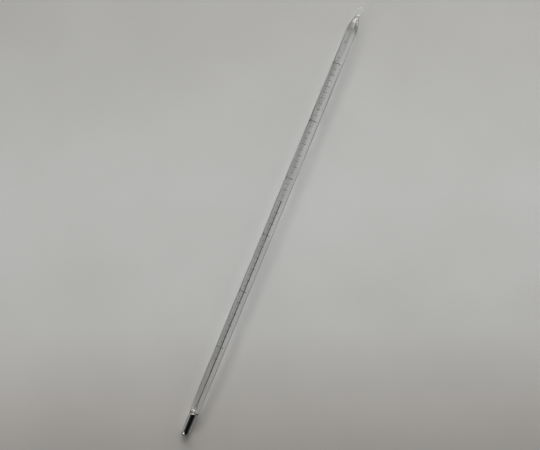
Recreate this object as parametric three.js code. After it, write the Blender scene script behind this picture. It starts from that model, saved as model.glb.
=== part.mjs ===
// A solid-stem mercury thermometer for the laboratory, lying with its scale facing up.
//
// Millimetres. +X runs along the stem from the bulb to the hanging ring and +Z is up. The origin is
// on the surface that the stem lies on, under the middle of the length.
//
// Every piece is first made standing up in the stem's own frame, where +Y is the stem's axis and the
// height 0 is the tip of the bulb. One group then lays all of them down.

import * as THREE from 'three';
import { mergeVertices } from 'three/addons/utils/BufferGeometryUtils.js';

// Overall size
const TOTAL_LENGTH = 305;
const STEM_RADIUS = 3.5; // from the axis to a flat
const FLATS = 16; // sides of the faceted stem, one of them facing straight down
const FUSED_GAP = 0.3; // left between two pieces of glass that are fused on the real object

// Bulb
const BULB_RADIUS = 3.0;
const BULB_WALL = 0.5;
const BULB_TIP_WALL = 0.6;
const BULB_END = 19.2; // height at which the bulb's glass ends
const RESERVOIR_SHOULDER = 16.6; // height at which the cavity starts to close in
const RESERVOIR_CEILING = 18.3; // height at which the cavity has closed in to the capillary

// Stem
const STEM_START = BULB_END + FUSED_GAP;
const FLARE_END = 22.5; // height at which the stem has its full width
const TOP_SHOULDER = 292.5; // height at which the stem's rounded top starts
const STEM_END = 298;

// Capillary, with its contraction chamber below the scale and its expansion chamber at the top
const BORE_RADIUS = 0.25;
const CONTRACTION = { start: 21.8, end: 23.8, radius: 0.5, taper: 0.3 };
const EXPANSION = { start: 271.5, end: 293.2, radius: 0.45, taper: 1.0 };

// Mercury
const MERCURY_CLEARANCE = 0.1; // to the wall of the bulb and of the contraction chamber
const THREAD_RADIUS = 0.2;
const THREAD_SIDES = 12;
const THREAD_START = CONTRACTION.end + 0.2;
const ROOM_TEMPERATURE = 26; // degrees shown at rest

// Scale
const ZERO_HEIGHT = 65.5; // height of the 0 degree line
const DEGREE = 4; // length of one degree
const SCALE_FIRST = -2;
const SCALE_LAST = 50;
const MARK_STEP = 2; // degrees between the graduations that are solids
const NUMERAL_STEP = 10; // degrees between the long graduations
const MARK_WIDTH = 0.35; // along the stem
const MARK_THICKNESS = 0.06;
const MARK_LIFT = 0.03; // clearance between a mark and the glass under it
// The marks run from flat to flat around the stem, counted from the flat that faces up.
const MARK_FROM_FLAT = -1.5;
const SHORT_MARK_TO_FLAT = 0.5;
const LONG_MARK_TO_FLAT = 1.5;

// Hanging ring
const RING_WIDTH = 5.2;
const RING_ROD = 1.6; // thickness of the glass that the loop is bent from
const RING_START = STEM_END + FUSED_GAP;
const RING_LENGTH = TOTAL_LENGTH - RING_START;
const RING_SEGMENTS = 24;
const ROD_SIDES = 10;

const FLAT_ANGLE = (2 * Math.PI) / FLATS;
const DOME_STEPS = 5;

// The radius to a corner of a regular polygon whose flats are this far from its centre.
function cornerRadius(flatRadius, sides = FLATS) {
  return flatRadius / Math.cos(Math.PI / sides);
}

function material(name, color, roughness, metalness) {
  return new THREE.MeshStandardMaterial({ name, color, roughness, metalness });
}

function clearGlass() {
  return material('clear_glass', 0xc4cccb, 0.05, 0);
}

function mercury() {
  return material('mercury', 0xb9bcc0, 0.08, 1);
}

function scaleInk() {
  return material('scale_ink', 0x1d1e1f, 0.6, 0);
}

// Points of a quarter of an ellipse in a profile, from (startRadius, startHeight) to (endRadius,
// endHeight). The curve leaves its widest point parallel to the axis.
function quarterRound(startRadius, startHeight, endRadius, endHeight, steps = DOME_STEPS) {
  const points = [];
  const widening = endRadius > startRadius;
  for (let i = 0; i <= steps; i += 1) {
    const turn = (i / steps) * (Math.PI / 2);
    const across = widening ? Math.sin(turn) : 1 - Math.cos(turn);
    const along = widening ? 1 - Math.cos(turn) : Math.sin(turn);
    points.push([
      startRadius + (endRadius - startRadius) * across,
      startHeight + (endHeight - startHeight) * along,
    ]);
  }
  return points;
}

// A solid of revolution about the stem's axis, with one flat facing up once it is laid down. The
// profile is a list of [radius to the flat, height], from the axis back to the axis, or closed.
function turned(profile, sides = FLATS) {
  const points = profile.map(([radius, height]) => new THREE.Vector2(cornerRadius(radius, sides), height));
  return new THREE.LatheGeometry(points, sides, Math.PI / sides);
}

// The height of a temperature's graduation.
function heightOf(temperature) {
  return ZERO_HEIGHT + DEGREE * temperature;
}

function stemGeometry() {
  const lowerFlare = quarterRound(BULB_RADIUS, STEM_START, STEM_RADIUS, FLARE_END);
  const roundedTop = quarterRound(STEM_RADIUS, TOP_SHOULDER, 0, STEM_END, DOME_STEPS + 2);
  const expansionTop = quarterRound(EXPANSION.radius, EXPANSION.end - EXPANSION.taper, 0, EXPANSION.end);
  const bore = [
    [BORE_RADIUS, CONTRACTION.start],
    [CONTRACTION.radius, CONTRACTION.start + CONTRACTION.taper],
    [CONTRACTION.radius, CONTRACTION.end - CONTRACTION.taper],
    [BORE_RADIUS, CONTRACTION.end],
    [BORE_RADIUS, EXPANSION.start],
    [EXPANSION.radius, EXPANSION.start + EXPANSION.taper],
  ];
  return turned([
    ...expansionTop.toReversed(),
    ...bore.toReversed(),
    [BORE_RADIUS, STEM_START],
    ...lowerFlare,
    ...roundedTop,
  ]);
}

function bulbGeometry() {
  const cavityRadius = BULB_RADIUS - BULB_WALL;
  const outerTip = quarterRound(0, 0, BULB_RADIUS, BULB_RADIUS);
  const cavityTip = quarterRound(0, BULB_TIP_WALL, cavityRadius, BULB_TIP_WALL + cavityRadius);
  const ceiling = quarterRound(cavityRadius, RESERVOIR_SHOULDER, BORE_RADIUS, RESERVOIR_CEILING);
  return turned([
    ...outerTip,
    [BULB_RADIUS, BULB_END],
    [BORE_RADIUS, BULB_END],
    ...ceiling.toReversed(),
    ...cavityTip.toReversed(),
  ]);
}

function reservoirGeometry() {
  const radius = BULB_RADIUS - BULB_WALL - MERCURY_CLEARANCE;
  const tipHeight = BULB_TIP_WALL + MERCURY_CLEARANCE;
  const bead = CONTRACTION.radius - MERCURY_CLEARANCE;
  return turned([
    ...quarterRound(0, tipHeight, radius, tipHeight + radius),
    ...quarterRound(
      radius,
      RESERVOIR_SHOULDER - MERCURY_CLEARANCE,
      THREAD_RADIUS,
      RESERVOIR_CEILING - MERCURY_CLEARANCE,
    ),
    [THREAD_RADIUS, CONTRACTION.start + MERCURY_CLEARANCE],
    [bead, CONTRACTION.start + CONTRACTION.taper + MERCURY_CLEARANCE],
    ...quarterRound(
      bead,
      CONTRACTION.end - CONTRACTION.taper - MERCURY_CLEARANCE,
      0,
      CONTRACTION.end - MERCURY_CLEARANCE,
      2,
    ),
  ]);
}

function threadGeometry() {
  const top = heightOf(ROOM_TEMPERATURE);
  return turned(
    [
      [0, THREAD_START],
      [THREAD_RADIUS, THREAD_START],
      ...quarterRound(THREAD_RADIUS, top - THREAD_RADIUS, 0, top, 2),
    ],
    THREAD_SIDES,
  );
}

// A fired-on line: a thin band that lies along the stem's flats, centred on the height 0.
function markGeometry(toFlat) {
  const inner = cornerRadius(STEM_RADIUS + MARK_LIFT);
  const outer = cornerRadius(STEM_RADIUS + MARK_LIFT + MARK_THICKNESS);
  const turns = [];
  for (let flat = MARK_FROM_FLAT; flat <= toFlat; flat += 1) {
    turns.push(flat * FLAT_ANGLE);
  }
  const corner = (radius, turn) => new THREE.Vector2(radius * Math.sin(turn), -radius * Math.cos(turn));
  const outline = [
    ...turns.map((turn) => corner(outer, turn)),
    ...turns.toReversed().map((turn) => corner(inner, turn)),
  ];
  const band = new THREE.ExtrudeGeometry(new THREE.Shape(outline), {
    depth: MARK_WIDTH,
    bevelEnabled: false,
  });
  band.translate(0, 0, -MARK_WIDTH / 2);
  return band.rotateX(-Math.PI / 2);
}

// The loop is a bent rod: a torus drawn out to an oval, flat in the plane that the stem lies in.
function ringGeometry() {
  const acrossRadius = (RING_WIDTH - RING_ROD) / 2;
  const alongRadius = (RING_LENGTH - RING_ROD) / 2;
  const ring = new THREE.TorusGeometry(acrossRadius, RING_ROD / 2, ROD_SIDES, RING_SEGMENTS);
  const corners = ring.getAttribute('position');
  for (let i = 0; i < corners.count; i += 1) {
    const turn = Math.atan2(corners.getY(i), corners.getX(i));
    corners.setY(i, corners.getY(i) + (alongRadius - acrossRadius) * Math.sin(turn));
  }
  return ring.translate(0, RING_START + RING_LENGTH / 2, 0);
}

const thermometer = new THREE.Group();
thermometer.rotation.z = -Math.PI / 2;
thermometer.position.set(-TOTAL_LENGTH / 2, 0, STEM_RADIUS);

// Adds a piece as a named mesh whose shared corners are merged.
function addPiece(name, geometry, pieceMaterial, height = 0) {
  geometry.deleteAttribute('normal');
  geometry.deleteAttribute('uv');
  const merged = mergeVertices(geometry, 1e-5);
  merged.computeVertexNormals();
  const piece = new THREE.Mesh(merged, pieceMaterial);
  piece.name = name;
  piece.position.y = height;
  thermometer.add(piece);
}

function graduationName(temperature) {
  const sign = temperature < 0 ? 'minus_' : '';
  return `graduation_${sign}${String(Math.abs(temperature)).padStart(2, '0')}`;
}

addPiece('glass_stem', stemGeometry(), clearGlass());
addPiece('bulb_glass', bulbGeometry(), clearGlass());
addPiece('hanging_ring', ringGeometry(), clearGlass());
addPiece('mercury_reservoir', reservoirGeometry(), mercury());
addPiece('mercury_thread', threadGeometry(), mercury());

for (let temperature = SCALE_FIRST; temperature <= SCALE_LAST; temperature += MARK_STEP) {
  const isLong = temperature % NUMERAL_STEP === 0;
  const mark = markGeometry(isLong ? LONG_MARK_TO_FLAT : SHORT_MARK_TO_FLAT);
  addPiece(graduationName(temperature), mark, scaleInk(), heightOf(temperature));
}

const laidDown = new THREE.Group();
laidDown.name = 'laboratory_thermometer';
laidDown.add(thermometer);

export default laidDown;
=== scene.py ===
"""Looks for a solid-stem mercury thermometer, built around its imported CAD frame.

The stem lies along +X, from the bulb to the hanging ring, and the scale faces up. Distances along the
stem are measured from the tip of the bulb, in millimetres, and turned into frame positions by point().
"""

import math

import bmesh
import bpy
from mathutils import Matrix, Vector


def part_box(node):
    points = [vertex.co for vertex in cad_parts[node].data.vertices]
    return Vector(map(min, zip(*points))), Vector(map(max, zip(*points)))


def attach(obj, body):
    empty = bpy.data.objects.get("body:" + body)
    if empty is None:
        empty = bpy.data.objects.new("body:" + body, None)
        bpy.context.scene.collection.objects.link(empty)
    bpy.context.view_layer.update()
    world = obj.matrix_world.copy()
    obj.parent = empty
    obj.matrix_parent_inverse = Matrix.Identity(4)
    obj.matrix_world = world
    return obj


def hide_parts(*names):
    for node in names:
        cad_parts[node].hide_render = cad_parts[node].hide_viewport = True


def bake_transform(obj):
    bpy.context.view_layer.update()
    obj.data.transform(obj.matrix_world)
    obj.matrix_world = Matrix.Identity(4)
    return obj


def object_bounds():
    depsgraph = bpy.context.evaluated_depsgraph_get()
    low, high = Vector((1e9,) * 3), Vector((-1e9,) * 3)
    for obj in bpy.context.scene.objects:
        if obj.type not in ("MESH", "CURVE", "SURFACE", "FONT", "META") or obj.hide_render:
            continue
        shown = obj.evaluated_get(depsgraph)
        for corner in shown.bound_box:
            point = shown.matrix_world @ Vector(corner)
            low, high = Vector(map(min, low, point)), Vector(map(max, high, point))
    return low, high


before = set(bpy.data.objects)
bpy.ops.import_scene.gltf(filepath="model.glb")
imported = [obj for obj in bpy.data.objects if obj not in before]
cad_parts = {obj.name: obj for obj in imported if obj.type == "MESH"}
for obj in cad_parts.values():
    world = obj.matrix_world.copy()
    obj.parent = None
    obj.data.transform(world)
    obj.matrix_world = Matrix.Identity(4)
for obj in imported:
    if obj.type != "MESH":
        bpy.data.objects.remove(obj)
CAD_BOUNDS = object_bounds()

MM = 0.001
BODY = "thermometer"

STEM_LOW, STEM_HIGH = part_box("glass_stem")
BULB_LOW, BULB_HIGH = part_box("bulb_glass")
RING_LOW, RING_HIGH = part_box("hanging_ring")
_, THREAD_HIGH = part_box("mercury_thread")
RESERVOIR_LOW, RESERVOIR_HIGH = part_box("mercury_reservoir")

TIP_X = BULB_LOW.x
AXIS_Z = (STEM_LOW.z + STEM_HIGH.z) / 2
STEM_RADIUS = (STEM_HIGH.z - STEM_LOW.z) / 2 / MM
BULB_RADIUS = (BULB_HIGH.z - BULB_LOW.z) / 2 / MM
RESERVOIR_RADIUS = (RESERVOIR_HIGH.z - RESERVOIR_LOW.z) / 2 / MM


def along(x):
    """How far a frame position is from the tip of the bulb, in millimetres."""
    return (x - TIP_X) / MM


RING_START = along(RING_LOW.x)
RING_END = along(RING_HIGH.x)
RING_WIDTH = (RING_HIGH.y - RING_LOW.y) / MM
RING_ROD = (RING_HIGH.z - RING_LOW.z) / MM
THREAD_TOP = along(THREAD_HIGH.x)

# Scale, from the places of the graduations at 0 and 50 degrees
ZERO_AT = along((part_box("graduation_00")[0].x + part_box("graduation_00")[1].x) / 2)
FIFTY_AT = along((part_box("graduation_50")[0].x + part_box("graduation_50")[1].x) / 2)
DEGREE = (FIFTY_AT - ZERO_AT) / 50


def point(distance, out=0.0, turn=0.0):
    """The frame position at a distance along the stem and a distance out from its axis, in mm.
    The turn is in radians, from straight up towards +Y."""
    return Vector(
        (
            TIP_X + distance * MM,
            out * math.sin(turn) * MM,
            AXIS_Z + out * math.cos(turn) * MM,
        )
    )


# ---------------------------------------------------------------------------------------- materials
class Nodes:
    """The node tree of a material or a world, with one call for each node and its inputs."""

    def __init__(self, owner, output):
        owner.use_nodes = True
        self.owner = owner
        self.tree = owner.node_tree
        self.tree.nodes.clear()
        self.output = self.tree.nodes.new("ShaderNode" + output)

    def add(self, kind, properties=None, **inputs):
        node = self.tree.nodes.new("ShaderNode" + kind)
        for name, value in (properties or {}).items():
            setattr(node, name, value)
        for name, value in inputs.items():
            socket = node.inputs[name.replace("_", " ")]
            if isinstance(value, bpy.types.NodeSocket):
                self.tree.links.new(value, socket)
            else:
                socket.default_value = value
        return node

    def finish(self, shader):
        self.tree.links.new(shader.outputs[0], self.output.inputs["Surface"])
        return self.owner


def material_nodes(name):
    return Nodes(bpy.data.materials.new(name), "OutputMaterial")


def grey(level):
    return (level, level, level)


def ramp(nodes, factor, stops):
    """A colour that goes through the (position, colour) stops as the factor grows."""
    node = nodes.add("ValToRGB", Fac=factor)
    elements = node.color_ramp.elements
    while len(elements) < len(stops):
        elements.new(0.5)
    for element, (position, colour) in zip(elements, stops):
        element.position = position
        element.color = (*colour, 1.0)
    return node.outputs["Color"]


def noise(nodes, scale, detail):
    """Noise from 0 to 1, with its own fineness along each of the object's axes, per metre."""
    place = nodes.add("TexCoord").outputs["Object"]
    stretched = nodes.add("Mapping", Vector=place, Scale=scale).outputs[0]
    return nodes.add("TexNoise", Vector=stretched, Scale=1.0, Detail=detail).outputs["Fac"]


def multiplied(nodes, first, second):
    product = nodes.add("VectorMath", {"operation": "MULTIPLY"})
    nodes.tree.links.new(first, product.inputs[0])
    nodes.tree.links.new(second, product.inputs[1])
    return product.outputs[0]


def glass_material():
    """Clear drawn glass: fine lines run along the stem where the molten glass was pulled.
    Its colour is darkened where light grazes the surface, a painted shade that draws dark rims on the
    stem."""
    nodes = material_nodes("clear_glass")
    lines = noise(nodes, (6.0, 900.0, 900.0), 3.0)
    bump = nodes.add("Bump", Strength=0.02, Distance=0.0002, Height=lines)
    smears = noise(nodes, (60.0, 160.0, 160.0), 4.0)
    haze = ramp(nodes, smears, [(0.5, grey(0.0)), (0.85, grey(0.02))])
    grazing = nodes.add("LayerWeight", Blend=0.5).outputs["Facing"]
    # Painted shade: the glass colour darkens where rays graze the surface, which draws dark rims on the
    # stem
    rim_shade = ramp(
        nodes,
        grazing,
        [(0.4, grey(1.0)), (0.5, (0.44, 0.46, 0.45)), (1.0, (0.66, 0.68, 0.67))],
    )
    shader = nodes.add(
        "BsdfPrincipled",
        Base_Color=rim_shade,
        Roughness=haze,
        IOR=1.5,
        Transmission_Weight=1.0,
        Normal=bump.outputs["Normal"],
    )
    return nodes.finish(shader)


def mercury_material():
    """Liquid metal: a mirror, with a trace of film where it touches the glass."""
    nodes = material_nodes("mercury")
    film = noise(nodes, (400.0, 700.0, 700.0), 3.0)
    colour = ramp(nodes, film, [(0.3, (0.70, 0.70, 0.71)), (0.7, (0.79, 0.79, 0.80))])
    roughness = ramp(nodes, film, [(0.35, grey(0.02)), (0.75, grey(0.07))])
    shader = nodes.add("BsdfPrincipled", Base_Color=colour, Metallic=1.0, Roughness=roughness)
    return nodes.finish(shader)


def ink_material():
    """Fired-on enamel, a little paler where it is thin."""
    nodes = material_nodes("scale_ink")
    wear = noise(nodes, (3000.0, 3000.0, 3000.0), 4.0)
    colour = ramp(
        nodes,
        wear,
        [(0.35, (0.012, 0.012, 0.013)), (0.62, (0.035, 0.036, 0.04)), (0.8, (0.12, 0.12, 0.125))],
    )
    bump = nodes.add("Bump", Strength=0.3, Distance=0.00001, Height=wear)
    shader = nodes.add(
        "BsdfPrincipled", Base_Color=colour, Roughness=0.45, Normal=bump.outputs["Normal"]
    )
    return nodes.finish(shader)


def floor_material():
    """A pale grey laminate with a faint mottle, and painted shade that makes it darker towards the top
    and foot of the picture.
    """
    nodes = material_nodes("floor")
    place = nodes.add("TexCoord").outputs["Object"]
    turned = nodes.add("Mapping", Vector=place, Rotation=(0, 0, -LEAN)).outputs[0]
    up = nodes.add("SeparateXYZ", Vector=turned).outputs["X"]
    height = nodes.add("MapRange", Value=up, From_Min=-PAINTED_SHADE_REACH, From_Max=PAINTED_SHADE_REACH)
    # Painted shade: the floor colour is darkened, and warmed at the foot, towards the top and foot of
    # the picture
    painted_shade = ramp(
        nodes,
        height.outputs["Result"],
        [
            (0.0, (0.54, 0.51, 0.49)),
            (0.2, (0.84, 0.82, 0.81)),
            (0.33, (0.98, 0.99, 1.0)),
            (0.55, (0.97, 0.985, 1.0)),
            (1.0, (0.6, 0.595, 0.59)),
        ],
    )
    mottle = noise(nodes, (14.0, 14.0, 14.0), 3.0)
    colour = ramp(nodes, mottle, [(0.3, (0.545, 0.542, 0.53)), (0.7, (0.58, 0.578, 0.568))])
    shader = nodes.add("BsdfPrincipled", Base_Color=multiplied(nodes, colour, painted_shade), Roughness=0.55)
    return nodes.finish(shader)


GLASS = glass_material()
MERCURY = mercury_material()
INK = ink_material()


# ------------------------------------------------------------------------------------- mesh helpers
def add_object(name, data):
    obj = bpy.data.objects.new(name, data)
    bpy.context.scene.collection.objects.link(obj)
    return obj


def new_object(name, vertices, faces, material, smooth=True):
    mesh = bpy.data.meshes.new(name)
    mesh.from_pydata([tuple(v) for v in vertices], [], faces)
    mesh.validate()
    mesh.update()
    mesh.polygons.foreach_set("use_smooth", [smooth] * len(mesh.polygons))
    mesh.materials.append(material)
    return add_object(name, mesh)


def lathe(profile, sides):
    """Vertices and faces of a solid about the stem's axis, with round or oval sections. The profile
    is a list of (distance along the stem, half-width, half-depth), or without the half-depth where
    the section is round. Its first and last widths are 0. Faces point away from the axis when the
    distances grow."""
    vertices = [point(profile[0][0])]
    for distance, *halves in profile[1:-1]:
        for k in range(sides):
            turn = 2 * math.pi * k / sides
            across = Vector((0, halves[0] * math.sin(turn), halves[-1] * math.cos(turn)))
            vertices.append(point(distance) + across * MM)
    vertices.append(point(profile[-1][0]))
    rings = len(profile) - 2
    last = len(vertices) - 1
    faces = []
    for k in range(sides):
        after = (k + 1) % sides
        faces.append((0, 1 + k, 1 + after))
        for ring in range(rings - 1):
            here = 1 + ring * sides
            there = here + sides
            faces.append((here + k, there + k, there + after, here + after))
        faces.append((last, last - sides + after, last - sides + k))
    return vertices, faces


def arc(start, end, steps):
    """Points of a quarter of an ellipse between two (distance, radius) points. The curve is
    parallel to the axis at the wider point."""
    points = []
    widening = end[1] > start[1]
    for i in range(steps + 1):
        turn = i / steps * math.pi / 2
        across = math.sin(turn) if widening else 1 - math.cos(turn)
        forward = 1 - math.cos(turn) if widening else math.sin(turn)
        points.append(
            (start[0] + (end[0] - start[0]) * forward, start[1] + (end[1] - start[1]) * across)
        )
    return points


def change(start, first, end, last, steps):
    """Sections that go from one (half-width, half-depth) to another between two distances."""
    widths = arc((start, first[0]), (end, last[0]), steps)
    depths = arc((start, first[1]), (end, last[1]), steps)
    return [(distance, width, depth) for (distance, width), (_, depth) in zip(widths, depths)]


# ------------------------------------------------------------------------------------ glass envelope
CAGE_SIDES = 8
CAGE_SMOOTHING = 4
# A subdivided cage of eight sides settles this far inside its corners.
CAGE_SHRINK = (4 + 2 * math.cos(2 * math.pi / CAGE_SIDES)) / 6
RING_STEPS = 12
RING_SHRINK = (4 + 2 * math.cos(2 * math.pi / RING_STEPS)) / 6

# The outside of the glass, as (distance, radius) corners of its cage
TIP_AT = -0.06
TIP_OUTLINE = [(0.05, 1.15), (0.75, 2.3), (2.3, 3.0), (5.0, BULB_RADIUS)]
FLARE_OUTLINE = [
    (17.0, BULB_RADIUS),
    (19.4, BULB_RADIUS + 0.04),
    (21.6, STEM_RADIUS - 0.1),
    (24.0, STEM_RADIUS),
]
STEM_OUTLINE = [(40.0, STEM_RADIUS), (280.0, STEM_RADIUS)]
OGIVE_OUTLINE = [
    (288.0, STEM_RADIUS),
    (291.5, STEM_RADIUS - 0.12),
    (294.5, STEM_RADIUS - 0.75),
    (296.8, STEM_RADIUS - 1.65),
    (298.3, STEM_RADIUS - 2.4),
]

# The capillary, as (half-width, half-depth). It is flat, so that the thread looks wide from above.
BORE = (0.19, 0.09)
BORE_SIDES = 24
BORE_FOOT = 0.2  # how far its closed lower end stands in the mercury
BORE_FOOT_TAPER = 0.05
EXPANSION_START = 271.5
EXPANSION_END = 293.0
EXPANSION_TAPER = 1.2
EXPANSION_DOME = 0.8
EXPANSION = (0.30, 0.30)
CONTRACTION_END = along(RESERVOIR_HIGH.x)


def cage_ring(mesh, distance, radius):
    """Eight corners round the stem's axis, the first towards +Y and the third straight up."""
    corners = []
    for k in range(CAGE_SIDES):
        turn = math.pi / 2 - 2 * math.pi * k / CAGE_SIDES
        corners.append(mesh.verts.new(point(distance, radius / CAGE_SHRINK, turn)))
    return corners


def bridge(mesh, first, second):
    for k in range(CAGE_SIDES):
        after = (k + 1) % CAGE_SIDES
        mesh.faces.new((first[k], first[after], second[after], second[k]))


def ring_corner(i, j):
    """A corner of the hanging ring's cage: i steps round the loop from the side that faces the
    stem, towards +Y, and j steps round the rod from its outer side, upwards."""
    rod = RING_ROD / 2 / CAGE_SHRINK
    across = (RING_WIDTH - RING_ROD) / 2 / RING_SHRINK
    lengthwise = (RING_END - RING_START - RING_ROD) / 2 / RING_SHRINK
    turn = 2 * math.pi * i / RING_STEPS
    swell = 2 * math.pi * j / CAGE_SIDES
    outward = Vector((-math.cos(turn), math.sin(turn), 0))
    centre = point((RING_START + RING_END) / 2)
    loop = Vector((-lengthwise * math.cos(turn), across * math.sin(turn), 0))
    offset = outward * (rod * math.cos(swell)) + Vector((0, 0, rod * math.sin(swell)))
    return centre + (loop + offset) * MM


def glass_cage():
    """The outside of the glass: bulb, stem and hanging ring as one fused skin."""
    mesh = bmesh.new()
    outline = TIP_OUTLINE + FLARE_OUTLINE + STEM_OUTLINE + OGIVE_OUTLINE
    rings = [cage_ring(mesh, distance, radius) for distance, radius in outline]
    tip = mesh.verts.new(point(TIP_AT))
    for k in range(0, CAGE_SIDES, 2):
        after = (k + 2) % CAGE_SIDES
        mesh.faces.new((tip, rings[0][after], rings[0][k + 1], rings[0][k]))
    for first, second in zip(rings, rings[1:]):
        bridge(mesh, first, second)

    loop = {
        (i, j): mesh.verts.new(ring_corner(i, j))
        for i in range(RING_STEPS)
        for j in range(CAGE_SIDES)
        if (i, j) != (0, 0)
    }
    for i in range(RING_STEPS):
        for j in range(CAGE_SIDES):
            next_i = (i + 1) % RING_STEPS
            next_j = (j + 1) % CAGE_SIDES
            corners = [(i, j), (next_i, j), (next_i, next_j), (i, next_j)]
            if (0, 0) not in corners:
                mesh.faces.new([loop[c] for c in corners])
    # The rim of the hole left at the side that faces the stem, in the order of a cage ring
    steps = [(1, 0), (1, 1), (0, 1), (-1, 1), (-1, 0), (-1, -1), (0, -1), (1, -1)]
    rim = [loop[(i % RING_STEPS, j % CAGE_SIDES)] for i, j in steps]
    bridge(mesh, rings[-1], rim)
    bmesh.ops.recalc_face_normals(mesh, faces=mesh.faces)
    return mesh


def smoothed(mesh, name, levels):
    """A cage's subdivided mesh data."""
    data = bpy.data.meshes.new(name)
    mesh.to_mesh(data)
    mesh.free()
    holder = add_object(name, data)
    subdivision = holder.modifiers.new("smooth", "SUBSURF")
    subdivision.levels = levels
    subdivision.render_levels = levels
    shape = holder.evaluated_get(bpy.context.evaluated_depsgraph_get())
    made = bpy.data.meshes.new_from_object(shape)
    bpy.data.objects.remove(holder)
    bpy.data.meshes.remove(data)
    return made


def bore_faces():
    """The wall of the capillary above the contraction chamber, with the expansion chamber."""
    foot = CONTRACTION_END - BORE_FOOT
    profile = [(foot, 0), (foot + BORE_FOOT_TAPER, *BORE)]
    profile += change(EXPANSION_START, BORE, EXPANSION_START + EXPANSION_TAPER, EXPANSION, 6)
    profile += change(EXPANSION_END - EXPANSION_DOME, EXPANSION, EXPANSION_END, (0, 0), 6)
    vertices, faces = lathe(profile, BORE_SIDES)
    return vertices, [tuple(reversed(face)) for face in faces]


def make_glass():
    """The skin of the glass with the wall of its capillary, as one piece."""
    skin = smoothed(glass_cage(), "glass_skin", CAGE_SMOOTHING)
    mesh = bmesh.new()
    mesh.from_mesh(skin)
    vertices, faces = bore_faces()
    made = [mesh.verts.new(v) for v in vertices]
    for face in faces:
        mesh.faces.new([made[i] for i in face])
    data = bpy.data.meshes.new("glass_body")
    mesh.to_mesh(data)
    mesh.free()
    bpy.data.meshes.remove(skin)
    data.polygons.foreach_set("use_smooth", [True] * len(data.polygons))
    data.materials.append(GLASS)
    glass = add_object("glass_body", data)
    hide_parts("glass_stem", "bulb_glass", "hanging_ring")
    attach(glass, BODY)


make_glass()


# ------------------------------------------------------------------------------------------ mercury
# The mercury reaches a little way into the glass, so that no film of air shows between them.
OVERLAP = 0.02
THREAD = (BORE[0] + OVERLAP, BORE[1] + OVERLAP)
THREAD_SIDES = 16
THREAD_STEPS = 150
THREAD_FOOT = 20.0
RESERVOIR_SIDES = 64

# Where the mercury in the bulb closes in to the capillary, with sections as for the capillary
SHOULDER_START = 16.9
SHOULDER_END = 17.7
SHOULDER_RADIUS = RESERVOIR_RADIUS - 1.1
NECK_START = 17.8
NECK_END = 18.6
NECK = (0.4, 0.4)

# Where the mercury widens in the contraction chamber
BEAD_START = 21.95
BEAD_WIDE_FROM = 22.4
BEAD_WIDE_TO = 23.2
BEAD = (0.42, 0.42)


def make_reservoir():
    """Mercury in the bulb, in the neck above it and in the contraction chamber."""
    tip = along(RESERVOIR_LOW.x)
    profile = arc((tip, 0), (tip + RESERVOIR_RADIUS, RESERVOIR_RADIUS), 16)
    profile += arc((SHOULDER_START, RESERVOIR_RADIUS), (SHOULDER_END, SHOULDER_RADIUS), 10)
    profile += change(NECK_START, NECK, NECK_END, THREAD, 6)
    profile += change(BEAD_START, THREAD, BEAD_WIDE_FROM, BEAD, 5)
    profile += change(BEAD_WIDE_TO, BEAD, CONTRACTION_END, (0, 0), 6)
    reservoir = new_object("mercury_pool", *lathe(profile, RESERVOIR_SIDES), MERCURY)
    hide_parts("mercury_reservoir")
    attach(reservoir, BODY)


def make_thread():
    """The thread rises out of the reservoir, from its foot up to where the CAD thread ends."""
    cap_start = THREAD_TOP - THREAD[0]
    step = (cap_start - THREAD_FOOT) / THREAD_STEPS
    profile = [(THREAD_FOOT, 0)]
    profile += [(THREAD_FOOT + step * i, *THREAD) for i in range(THREAD_STEPS)]
    profile += change(cap_start, THREAD, THREAD_TOP, (0, 0), 5)
    thread = new_object("mercury_line", *lathe(profile, THREAD_SIDES), MERCURY)
    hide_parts("mercury_thread")
    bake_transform(thread)


make_reservoir()
make_thread()


# -------------------------------------------------------------------------------------------- scale
INK_INSIDE = STEM_RADIUS - 0.02
INK_OUTSIDE = STEM_RADIUS + 0.012
SCALE_LOW = -2.4
SCALE_HIGH = 51.0
FINE_PER_DEGREE = 5

# Each kind of line is its width along the stem in mm and the turn that it ends at on the right. They
# all start from one turn on the left. Turns are in degrees from straight up towards +Y.
LINE_LEFT = 33
LINE_STEP = 5
FINE_LINE = (0.08, 8)
ODD_LINE = (0.26, -6)
EVEN_LINE = (0.32, -15)
TENS_LINE = (0.44, -27)

# Text, with sizes in mm. Its strokes are thickened, and it is cut into strips to bend round the stem.
NUMERAL_SIZE = 2.1
NUMERAL_TURN = 52
UNIT_MARK_AT = 280.0
UNIT_MARK_SIZE = 2.0
UNIT_MARK_TURN = 14
TEXT_THICKENING = 0.05
TEXT_STRIPS = 12


def line_shape(distance, kind):
    """Vertices and faces of one printed line, a thin band round part of the stem."""
    width, right = kind
    steps = round((LINE_LEFT - right) / LINE_STEP)
    vertices = []
    for i in range(steps + 1):
        turn = math.radians(LINE_LEFT + (right - LINE_LEFT) * i / steps)
        for side, out in ((-1, INK_INSIDE), (-1, INK_OUTSIDE), (1, INK_OUTSIDE), (1, INK_INSIDE)):
            vertices.append(point(distance + side * width / 2, out, turn))
    faces = [(3, 2, 1, 0)]
    for i in range(steps):
        for k in range(4):
            after = (k + 1) % 4
            here = 4 * i
            faces.append((here + k, here + after, here + 4 + after, here + 4 + k))
    end = 4 * steps
    faces.append((end, end + 1, end + 2, end + 3))
    return vertices, faces


def printed(name, shapes, cad_node=None):
    """One piece of ink made of several separate shapes."""
    vertices, faces = [], []
    for more_vertices, more_faces in shapes:
        first = len(vertices)
        vertices += more_vertices
        faces += [tuple(first + i for i in face) for face in more_faces]
    piece = new_object(name, vertices, faces, INK, smooth=False)
    if cad_node:
        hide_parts(cad_node)
    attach(piece, BODY)


def place_of(temperature):
    return ZERO_AT + DEGREE * temperature


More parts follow.
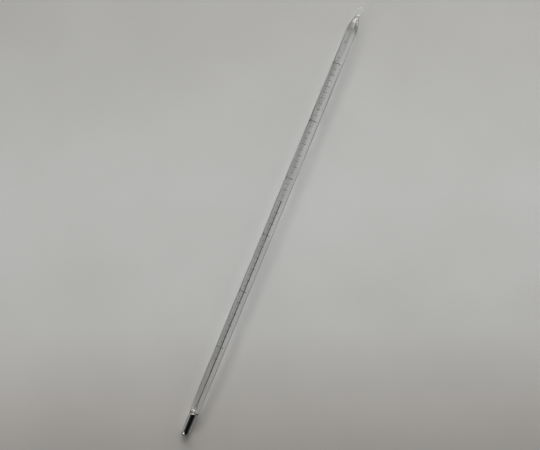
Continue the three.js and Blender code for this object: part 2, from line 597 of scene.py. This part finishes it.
def make_lines():
    """The fine lines, the lines at odd degrees and, in place of the CAD graduations, the even ones."""
    first = round(SCALE_LOW * FINE_PER_DEGREE)
    last = round(SCALE_HIGH * FINE_PER_DEGREE)
    fine, odd = [], []
    for step in range(first, last + 1):
        temperature = step / FINE_PER_DEGREE
        if step % FINE_PER_DEGREE:
            fine.append(line_shape(place_of(temperature), FINE_LINE))
        elif temperature % 2:
            odd.append(line_shape(place_of(temperature), ODD_LINE))
    printed("fine_lines", fine)
    printed("degree_lines", odd)
    for node in sorted(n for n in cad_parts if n.startswith("graduation_")):
        low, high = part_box(node)
        distance = along((low.x + high.x) / 2)
        temperature = round((distance - ZERO_AT) / DEGREE)
        kind = EVEN_LINE if temperature % 10 else TENS_LINE
        printed(node.replace("graduation", "line"), [line_shape(distance, kind)], node)


def flat_text(name, text, size):
    """A mesh of a text's letters, centred on its own origin, in metres."""
    curve = bpy.data.curves.new(name, "FONT")
    curve.body = text
    curve.size = size * MM
    curve.align_x = "CENTER"
    curve.align_y = "CENTER"
    curve.offset = TEXT_THICKENING * MM
    curve.resolution_u = 4
    flat = add_object(name, curve)
    shape = flat.evaluated_get(bpy.context.evaluated_depsgraph_get())
    data = bpy.data.meshes.new_from_object(shape)
    bpy.data.objects.remove(flat)
    return data


def cut_into_strips(mesh, size):
    """Cuts letters across their height, so that they can bend round the stem."""
    for i in range(1, TEXT_STRIPS):
        height = (i / TEXT_STRIPS - 0.5) * size * MM
        everything = mesh.verts[:] + mesh.edges[:] + mesh.faces[:]
        bmesh.ops.bisect_plane(
            mesh, geom=everything, dist=1e-8, plane_co=(0, height, 0), plane_no=(0, 1, 0)
        )


def make_text(name, text, size, distance, turn):
    """Text that reads along the stem, bent round it, centred on a distance and a turn."""
    data = flat_text(name, text, size)
    mesh = bmesh.new()
    mesh.from_mesh(data)
    bmesh.ops.remove_doubles(mesh, verts=mesh.verts, dist=1e-7)
    cut_into_strips(mesh, size)
    thick = bmesh.ops.extrude_face_region(mesh, geom=mesh.faces[:])
    lifted = {v for v in thick["geom"] if isinstance(v, bmesh.types.BMVert)}
    for vertex in mesh.verts:
        out = INK_OUTSIDE if vertex in lifted else INK_INSIDE
        bend = math.radians(turn) + vertex.co.y / MM / STEM_RADIUS
        vertex.co = point(distance + vertex.co.x / MM, out, bend)
    bmesh.ops.recalc_face_normals(mesh, faces=mesh.faces)
    mesh.to_mesh(data)
    mesh.free()
    data.materials.clear()
    data.materials.append(INK)
    piece = add_object(name, data)
    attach(piece, BODY)


make_lines()
for tens in range(0, 60, 10):
    make_text(f"numeral_{tens:02d}", str(tens), NUMERAL_SIZE, place_of(tens), NUMERAL_TURN)
make_text("unit_mark", "\N{DEGREE SIGN}C", UNIT_MARK_SIZE, UNIT_MARK_AT, UNIT_MARK_TURN)


# --------------------------------------------------------------------------------- floor and light
# The stem leans this far from upright in the picture.
LEAN = math.radians(22.38)
PICTURE_RIGHT = Vector((math.sin(LEAN), -math.cos(LEAN), 0))
PICTURE_UP = Vector((math.cos(LEAN), math.sin(LEAN), 0))
CENTRE = (CAD_BOUNDS[0] + CAD_BOUNDS[1]) / 2

FLOOR_REACH = 12.0
PAINTED_SHADE_REACH = 0.2  # from the middle to where the floor's shade ends, along the picture's height
LIGHT_DISTANCE = 1.5
LIGHT_COLOUR = (1.0, 0.99, 0.97)

# The camera stands nearly straight above, leaning a little towards the ring's end.
CAMERA_DISTANCE = 0.414
CAMERA_LEAN = 0.047
LENS = 42
SENSOR_WIDTH = 36
# From the middle of the thermometer to the middle of the picture, in mm
AIM_RIGHT = -0.84
AIM_UP = 0.32


def orient(obj, right, up, back):
    """Turns an object so that its own axes point in these directions."""
    obj.rotation_mode = "QUATERNION"
    obj.rotation_quaternion = Matrix((right, up, back)).transposed().to_quaternion()


def make_floor():
    side = FLOOR_REACH
    corners = [(-side, -side, 0), (side, -side, 0), (side, side, 0), (-side, side, 0)]
    floor = new_object("floor", corners, [(0, 1, 2, 3)], floor_material(), smooth=False)


def soft_box(name, tilt, swing, size, radiance):
    """A rectangular light that faces the thermometer, measured across the stem and along it. From
    straight overhead it is tilted towards the ring and swung towards the picture's right, in degrees."""
    tilt, swing = math.radians(tilt), math.radians(swing)
    rise = Vector((0, -math.sin(swing), math.cos(swing)))
    towards = Vector((math.sin(tilt), 0, 0)) + rise * math.cos(tilt)
    along_stem = Vector((math.cos(tilt), 0, 0)) - rise * math.sin(tilt)
    data = bpy.data.lights.new(name, "AREA")
    data.shape = "RECTANGLE"
    data.size, data.size_y = size
    # A lamp of this kind has a radiance of its energy over four times its area.
    data.energy = 4 * radiance * size[0] * size[1]
    data.color = LIGHT_COLOUR
    lamp = add_object(name, data)
    lamp.location = CENTRE + towards * LIGHT_DISTANCE
    lamp.visible_camera = False
    orient(lamp, along_stem.cross(towards), along_stem, towards)


def make_lights():
    """Wide low lights behind the ring and on both sides, and a small window past the bulb. Nothing
    bright stands overhead, where the stem and the mercury would mirror it to the camera."""
    soft_box("behind_ring", 47, -24, (1.95, 1.05), 2.1)
    soft_box("left", 60, -44, (1.75, 0.65), 4.7)
    soft_box("right", 63, 74, (0.8, 1.5), 3.2)
    soft_box("window", -40, -55, (0.34, 0.34), 11.0)


def make_world():
    """Dim walls and a dark ceiling."""
    nodes = Nodes(bpy.data.worlds.new("studio"), "OutputWorld")
    place = nodes.add("TexCoord").outputs["Generated"]
    height = nodes.add("SeparateXYZ", Vector=place).outputs["Z"]
    colour = ramp(nodes, height, [(0.0, grey(0.13)), (0.45, grey(0.07)), (0.75, grey(0.005))])
    glow = nodes.add("Background", Color=colour, Strength=1.0)
    bpy.context.scene.world = nodes.finish(glow)


def make_camera():
    data = bpy.data.cameras.new("camera")
    data.sensor_width = SENSOR_WIDTH
    data.lens = LENS
    data.clip_start = 0.01
    data.clip_end = 50
    camera = add_object("camera", data)
    back = (PICTURE_UP * CAMERA_LEAN + Vector((0, 0, 1))).normalized()
    aim = CENTRE + (PICTURE_RIGHT * AIM_RIGHT + PICTURE_UP * AIM_UP) * MM
    camera.location = aim + back * CAMERA_DISTANCE
    orient(camera, PICTURE_RIGHT, back.cross(PICTURE_RIGHT), back)
    bpy.context.scene.camera = camera


make_floor()
make_world()
make_lights()
make_camera()
bpy.context.scene.view_settings.view_transform = "Standard"
# Light that the glass bends on to the floor keeps its sharp edges.
bpy.context.scene.cycles.blur_glossy = 0.0
